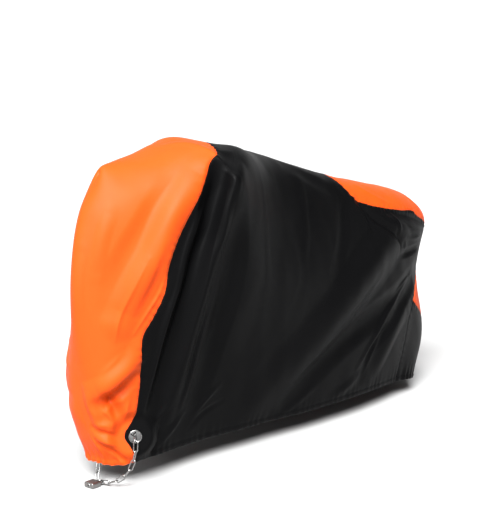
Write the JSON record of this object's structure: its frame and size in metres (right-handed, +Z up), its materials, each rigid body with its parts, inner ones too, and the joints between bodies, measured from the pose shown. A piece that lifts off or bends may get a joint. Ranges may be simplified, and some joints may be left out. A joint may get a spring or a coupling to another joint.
{
  "type": "fitted motorcycle cover",
  "caption": "Fitted outdoor cover for a motorcycle, hollow, in orange and black coated cloth, with a front eyelet, lock chain and padlock.",
  "frame": {"origin": "under the cloth on the top line, at the middle of the length, where the vehicle carries the cover", "axes": "+X to the front along the vehicle, +Y to the left side, +Z up"},
  "size_m": [2.1194, 0.6419, 1.1842],
  "materials": {
    "orange_cloth": "coated woven polyester, satin",
    "black_cloth": "coated woven polyester, satin",
    "plated_steel": "zinc or nickel plated, bright",
    "brushed_steel": "brushed"
  },
  "bodies": {
    "cover": {"front_panel": "orange_cloth", "side_panel_left": "black_cloth", "side_panel_right": "black_cloth", "tail_panel": "orange_cloth", "rear_panel": "black_cloth", "eyelet": "plated_steel", "chain_link_01": "plated_steel", "chain_link_02": "plated_steel", "chain_link_03": "plated_steel", "chain_link_04": "plated_steel", "chain_link_05": "plated_steel", "chain_link_06": "plated_steel", "chain_link_07": "plated_steel", "chain_link_08": "plated_steel", "chain_link_09": "plated_steel", "chain_link_10": "plated_steel", "chain_link_11": "plated_steel", "chain_link_12": "plated_steel", "chain_link_13": "plated_steel", "chain_link_14": "plated_steel", "chain_link_15": "plated_steel", "chain_link_16": "plated_steel", "chain_link_17": "plated_steel"},
    "shackle": {"padlock_shackle": "plated_steel"},
    "lock": {"padlock_body": "brushed_steel"}
  },
  "joints": [
    {"name": "padlock_tip", "type": "hinge", "parent": "cover", "child": "shackle", "pos_m": [0.827, 0.02, -1.094], "axis": [0, 1, 0], "range_deg": [-20, 0]},
    {"name": "shackle_slide", "type": "slide", "parent": "shackle", "child": "lock", "axis": [1, 0, 0], "range_m": [0, 0.009]}
  ]
}
